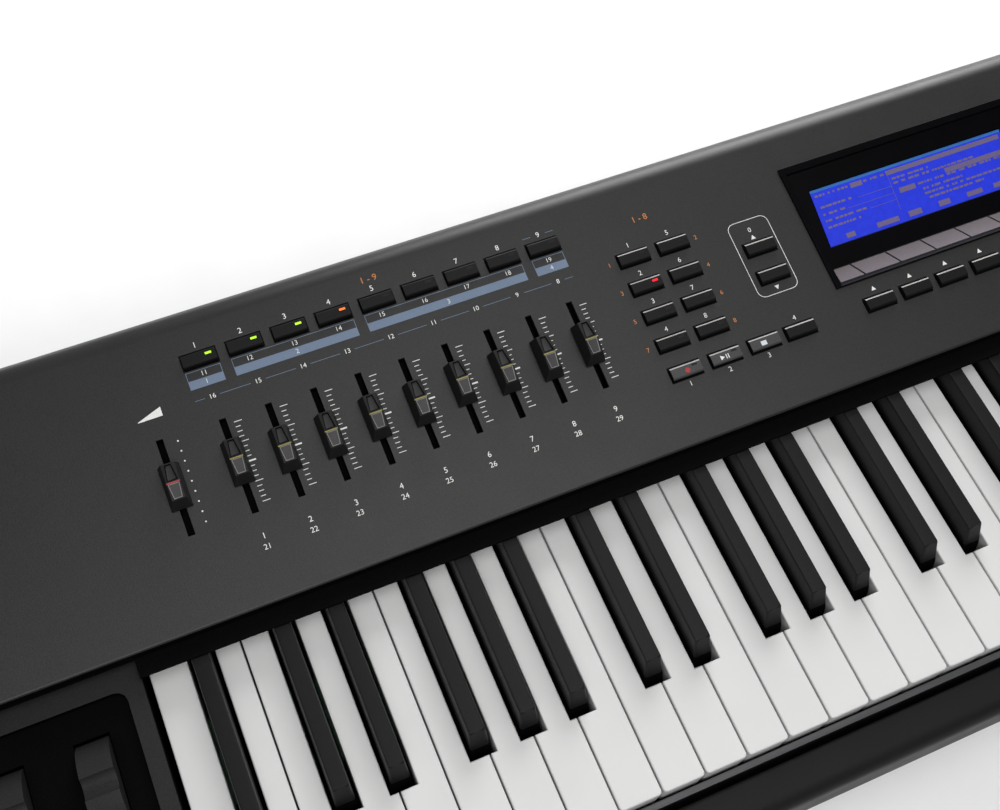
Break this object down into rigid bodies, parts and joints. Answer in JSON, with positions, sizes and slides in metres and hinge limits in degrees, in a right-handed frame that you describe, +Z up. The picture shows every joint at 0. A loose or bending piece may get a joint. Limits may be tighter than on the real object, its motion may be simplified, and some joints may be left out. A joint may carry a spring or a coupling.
{
  "type": "music workstation",
  "caption": "Full-length music workstation keyboard with a slanted control panel of faders, buttons, a data wheel and a sunk display, and two thumb wheels beside the keys.",
  "frame": {"origin": "on the ground, under the middle of the case", "axes": "+X towards the treble end, +Y towards the rear, +Z up"},
  "size_m": [1.4, 0.35, 0.1285],
  "materials": {
    "natural_keys": "satin white",
    "sharp_keys": "satin black",
    "controls": "satin black",
    "buttons": "satin black",
    "panel_paint": "fine dark grey texture paint",
    "pan_paint": "matt black",
    "keybed_metal": "dark coated",
    "circuit_board": "solder mask",
    "supply_metal": "plated",
    "window_plastic": "gloss black",
    "display_glass": "backlit blue",
    "foot_rubber": "matt black"
  },
  "bodies": {
    "case": {"top_panel": "panel_paint", "key_slip": "panel_paint", "left_cheek": "panel_paint", "right_cheek": "panel_paint", "wheel_plate": "panel_paint", "bottom_pan": "pan_paint", "rear_panel": "pan_paint", "keybed_frame": "keybed_metal", "contact_board": "circuit_board", "panel_board": "circuit_board", "main_board": "circuit_board", "power_supply": "supply_metal", "display_window": "window_plastic", "display_module": "display_glass", "foot_front_left": "foot_rubber", "foot_front_right": "foot_rubber", "foot_rear_left": "foot_rubber", "foot_rear_right": "foot_rubber"},
    "keys_c_e_g_b_1": {"keys_c_e_g_b_1": "natural_keys"},
    "keys_d_f_a_1": {"keys_d_f_a_1": "natural_keys"},
    "keys_sharp_1": {"keys_sharp_1": "sharp_keys"},
    "keys_c_e_g_b_2": {"keys_c_e_g_b_2": "natural_keys"},
    "keys_d_f_a_2": {"keys_d_f_a_2": "natural_keys"},
    "keys_sharp_2": {"keys_sharp_2": "sharp_keys"},
    "keys_c_e_g_b_3": {"keys_c_e_g_b_3": "natural_keys"},
    "keys_d_f_a_3": {"keys_d_f_a_3": "natural_keys"},
    "keys_sharp_3": {"keys_sharp_3": "sharp_keys"},
    "keys_c_e_g_b_4": {"keys_c_e_g_b_4": "natural_keys"},
    "keys_d_f_a_4": {"keys_d_f_a_4": "natural_keys"},
    "keys_sharp_4": {"keys_sharp_4": "sharp_keys"},
    "keys_c_e_g_b_5": {"keys_c_e_g_b_5": "natural_keys"},
    "keys_d_f_a_5": {"keys_d_f_a_5": "natural_keys"},
    "keys_sharp_5": {"keys_sharp_5": "sharp_keys"},
    "keys_c_e_g_b_6": {"keys_c_e_g_b_6": "natural_keys"},
    "keys_d_f_a_6": {"keys_d_f_a_6": "natural_keys"},
    "keys_sharp_6": {"keys_sharp_6": "sharp_keys"},
    "keys_c_e_g_b_7": {"keys_c_e_g_b_7": "natural_keys"},
    "keys_d_f_a_7": {"keys_d_f_a_7": "natural_keys"},
    "keys_sharp_7": {"keys_sharp_7": "sharp_keys"},
    "master_fader": {"master_fader": "controls"},
    "fader_1": {"fader_1": "controls"},
    "fader_2": {"fader_2": "controls"},
    "fader_3": {"fader_3": "controls"},
    "fader_4": {"fader_4": "controls"},
    "fader_5": {"fader_5": "controls"},
    "fader_6": {"fader_6": "controls"},
    "fader_7": {"fader_7": "controls"},
    "fader_8": {"fader_8": "controls"},
    "fader_9": {"fader_9": "controls"},
    "pitch_wheel": {"pitch_wheel": "controls"},
    "mod_wheel": {"mod_wheel": "controls"},
    "data_wheel": {"data_wheel": "controls"},
    "power_switch": {"power_switch": "controls"},
    "bank_buttons": {"bank_buttons": "buttons"},
    "mode_buttons": {"mode_buttons": "buttons"},
    "transport_buttons": {"transport_buttons": "buttons"},
    "channel_buttons": {"channel_buttons": "buttons"},
    "soft_buttons": {"soft_buttons": "buttons"},
    "cursor_buttons": {"cursor_buttons": "buttons"},
    "number_buttons": {"number_buttons": "buttons"}
  },
  "joints": [
    {"name": "keys_c_e_g_b_1_press", "type": "hinge", "parent": "case", "child": "keys_c_e_g_b_1", "pos_m": [0, 0.053, 0.065], "axis": [1, 0, 0], "range_deg": [0, 2.8], "stiffness_Nm_per_rad": 2.5, "springref_deg": -17.19},
    {"name": "keys_d_f_a_1_press", "type": "hinge", "parent": "case", "child": "keys_d_f_a_1", "pos_m": [0, 0.0595, 0.071], "axis": [1, 0, 0], "range_deg": [0, 2.8], "stiffness_Nm_per_rad": 2, "springref_deg": -17.19},
    {"name": "keys_sharp_1_press", "type": "hinge", "parent": "case", "child": "keys_sharp_1", "pos_m": [0, 0.066, 0.077], "axis": [1, 0, 0], "range_deg": [0, 2.8], "stiffness_Nm_per_rad": 2.1, "springref_deg": -17.19},
    {"name": "keys_c_e_g_b_2_press", "type": "hinge", "parent": "case", "child": "keys_c_e_g_b_2", "pos_m": [0, 0.053, 0.065], "axis": [1, 0, 0], "range_deg": [0, 2.8], "stiffness_Nm_per_rad": 2, "springref_deg": -17.19},
    {"name": "keys_d_f_a_2_press", "type": "hinge", "parent": "case", "child": "keys_d_f_a_2", "pos_m": [0, 0.0595, 0.071], "axis": [1, 0, 0], "range_deg": [0, 2.8], "stiffness_Nm_per_rad": 1.5, "springref_deg": -17.19},
    {"name": "keys_sharp_2_press", "type": "hinge", "parent": "case", "child": "keys_sharp_2", "pos_m": [0, 0.066, 0.077], "axis": [1, 0, 0], "range_deg": [0, 2.8], "stiffness_Nm_per_rad": 1.75, "springref_deg": -17.19},
    {"name": "keys_c_e_g_b_3_press", "type": "hinge", "parent": "case", "child": "keys_c_e_g_b_3", "pos_m": [0, 0.053, 0.065], "axis": [1, 0, 0], "range_deg": [0, 2.8], "stiffness_Nm_per_rad": 2, "springref_deg": -17.19},
    {"name": "keys_d_f_a_3_press", "type": "hinge", "parent": "case", "child": "keys_d_f_a_3", "pos_m": [0, 0.0595, 0.071], "axis": [1, 0, 0], "range_deg": [0, 2.8], "stiffness_Nm_per_rad": 1.5, "springref_deg": -17.19},
    {"name": "keys_sharp_3_press", "type": "hinge", "parent": "case", "child": "keys_sharp_3", "pos_m": [0, 0.066, 0.077], "axis": [1, 0, 0], "range_deg": [0, 2.8], "stiffness_Nm_per_rad": 1.75, "springref_deg": -17.19},
    {"name": "keys_c_e_g_b_4_press", "type": "hinge", "parent": "case", "child": "keys_c_e_g_b_4", "pos_m": [0, 0.053, 0.065], "axis": [1, 0, 0], "range_deg": [0, 2.8], "stiffness_Nm_per_rad": 2, "springref_deg": -17.19},
    {"name": "keys_d_f_a_4_press", "type": "hinge", "parent": "case", "child": "keys_d_f_a_4", "pos_m": [0, 0.0595, 0.071], "axis": [1, 0, 0], "range_deg": [0, 2.8], "stiffness_Nm_per_rad": 1.5, "springref_deg": -17.19},
    {"name": "keys_sharp_4_press", "type": "hinge", "parent": "case", "child": "keys_sharp_4", "pos_m": [0, 0.066, 0.077], "axis": [1, 0, 0], "range_deg": [0, 2.8], "stiffness_Nm_per_rad": 1.75, "springref_deg": -17.19},
    {"name": "keys_c_e_g_b_5_press", "type": "hinge", "parent": "case", "child": "keys_c_e_g_b_5", "pos_m": [0, 0.053, 0.065], "axis": [1, 0, 0], "range_deg": [0, 2.8], "stiffness_Nm_per_rad": 2, "springref_deg": -17.19},
    {"name": "keys_d_f_a_5_press", "type": "hinge", "parent": "case", "child": "keys_d_f_a_5", "pos_m": [0, 0.0595, 0.071], "axis": [1, 0, 0], "range_deg": [0, 2.8], "stiffness_Nm_per_rad": 1.5, "springref_deg": -17.19},
    {"name": "keys_sharp_5_press", "type": "hinge", "parent": "case", "child": "keys_sharp_5", "pos_m": [0, 0.066, 0.077], "axis": [1, 0, 0], "range_deg": [0, 2.8], "stiffness_Nm_per_rad": 1.75, "springref_deg": -17.19},
    {"name": "keys_c_e_g_b_6_press", "type": "hinge", "parent": "case", "child": "keys_c_e_g_b_6", "pos_m": [0, 0.053, 0.065], "axis": [1, 0, 0], "range_deg": [0, 2.8], "stiffness_Nm_per_rad": 2, "springref_deg": -17.19},
    {"name": "keys_d_f_a_6_press", "type": "hinge", "parent": "case", "child": "keys_d_f_a_6", "pos_m": [0, 0.0595, 0.071], "axis": [1, 0, 0], "range_deg": [0, 2.8], "stiffness_Nm_per_rad": 1.5, "springref_deg": -17.19},
    {"name": "keys_sharp_6_press", "type": "hinge", "parent": "case", "child": "keys_sharp_6", "pos_m": [0, 0.066, 0.077], "axis": [1, 0, 0], "range_deg": [0, 2.8], "stiffness_Nm_per_rad": 1.75, "springref_deg": -17.19},
    {"name": "keys_c_e_g_b_7_press", "type": "hinge", "parent": "case", "child": "keys_c_e_g_b_7", "pos_m": [0, 0.053, 0.065], "axis": [1, 0, 0], "range_deg": [0, 2.8], "stiffness_Nm_per_rad": 2.5, "springref_deg": -17.19},
    {"name": "keys_d_f_a_7_press", "type": "hinge", "parent": "case", "child": "keys_d_f_a_7", "pos_m": [0, 0.0595, 0.071], "axis": [1, 0, 0], "range_deg": [0, 2.8], "stiffness_Nm_per_rad": 1.5, "springref_deg": -17.19},
    {"name": "keys_sharp_7_press", "type": "hinge", "parent": "case", "child": "keys_sharp_7", "pos_m": [0, 0.066, 0.077], "axis": [1, 0, 0], "range_deg": [0, 2.8], "stiffness_Nm_per_rad": 1.75, "springref_deg": -17.19},
    {"name": "master_fader_slide", "type": "slide", "parent": "case", "child": "master_fader", "axis": [0, 0.9842, 0.1771], "range_m": [-0.0222, 0.0228]},
    {"name": "fader_1_slide", "type": "slide", "parent": "case", "child": "fader_1", "axis": [0, 0.9842, 0.1771], "range_m": [-0.0238, 0.0212]},
    {"name": "fader_2_slide", "type": "slide", "parent": "case", "child": "fader_2", "axis": [0, 0.9842, 0.1771], "range_m": [-0.0219, 0.0231]},
    {"name": "fader_3_slide", "type": "slide", "parent": "case", "child": "fader_3", "axis": [0, 0.9842, 0.1771], "range_m": [-0.0211, 0.0239]},
    {"name": "fader_4_slide", "type": "slide", "parent": "case", "child": "fader_4", "axis": [0, 0.9842, 0.1771], "range_m": [-0.0223, 0.0227]},
    {"name": "fader_5_slide", "type": "slide", "parent": "case", "child": "fader_5", "axis": [0, 0.9842, 0.1771], "range_m": [-0.0217, 0.0233]},
    {"name": "fader_6_slide", "type": "slide", "parent": "case", "child": "fader_6", "axis": [0, 0.9842, 0.1771], "range_m": [-0.0245, 0.0205]},
    {"name": "fader_7_slide", "type": "slide", "parent": "case", "child": "fader_7", "axis": [0, 0.9842, 0.1771], "range_m": [-0.0227, 0.0223]},
    {"name": "fader_8_slide", "type": "slide", "parent": "case", "child": "fader_8", "axis": [0, 0.9842, 0.1771], "range_m": [-0.022, 0.023]},
    {"name": "fader_9_slide", "type": "slide", "parent": "case", "child": "fader_9", "axis": [0, 0.9842, 0.1771], "range_m": [-0.0222, 0.0228]},
    {"name": "pitch_wheel_turn", "type": "hinge", "parent": "case", "child": "pitch_wheel", "pos_m": [-0.634, -0.04315, 0.072], "axis": [1, 0, 0], "range_deg": [-45, 45], "stiffness_Nm_per_rad": 0.05},
    {"name": "mod_wheel_turn", "type": "hinge", "parent": "case", "child": "mod_wheel", "pos_m": [-0.593, -0.04315, 0.072], "axis": [1, 0, 0], "range_deg": [-40, 40]},
    {"name": "data_wheel_turn", "type": "hinge", "parent": "case", "child": "data_wheel", "pos_m": [0.142, 0.08301, 0.11422], "axis": [0, -0.1771, 0.9842], "continuous": true},
    {"name": "power_switch_rock", "type": "hinge", "parent": "case", "child": "power_switch", "pos_m": [0.594, 0.1662, 0.04], "axis": [1, 0, 0], "range_deg": [0, 14]},
    {"name": "bank_buttons_press", "type": "slide", "parent": "case", "child": "bank_buttons", "axis": [0, 0.1771, -0.9842], "range_m": [0, 0.001], "stiffness_N_per_m": 400, "springref_m": -0.001},
    {"name": "mode_buttons_press", "type": "slide", "parent": "case", "child": "mode_buttons", "axis": [0, 0.1771, -0.9842], "range_m": [0, 0.001], "stiffness_N_per_m": 400, "springref_m": -0.001},
    {"name": "transport_buttons_press", "type": "slide", "parent": "case", "child": "transport_buttons", "axis": [0, 0.1771, -0.9842], "range_m": [0, 0.001], "stiffness_N_per_m": 400, "springref_m": -0.001},
    {"name": "channel_buttons_press", "type": "slide", "parent": "case", "child": "channel_buttons", "axis": [0, 0.1771, -0.9842], "range_m": [0, 0.001], "stiffness_N_per_m": 400, "springref_m": -0.001},
    {"name": "soft_buttons_press", "type": "slide", "parent": "case", "child": "soft_buttons", "axis": [0, 0.1771, -0.9842], "range_m": [0, 0.001], "stiffness_N_per_m": 400, "springref_m": -0.001},
    {"name": "cursor_buttons_press", "type": "slide", "parent": "case", "child": "cursor_buttons", "axis": [0, 0.1771, -0.9842], "range_m": [0, 0.001], "stiffness_N_per_m": 400, "springref_m": -0.001},
    {"name": "number_buttons_press", "type": "slide", "parent": "case", "child": "number_buttons", "axis": [0, 0.1771, -0.9842], "range_m": [0, 0.001], "stiffness_N_per_m": 400, "springref_m": -0.001}
  ]
}
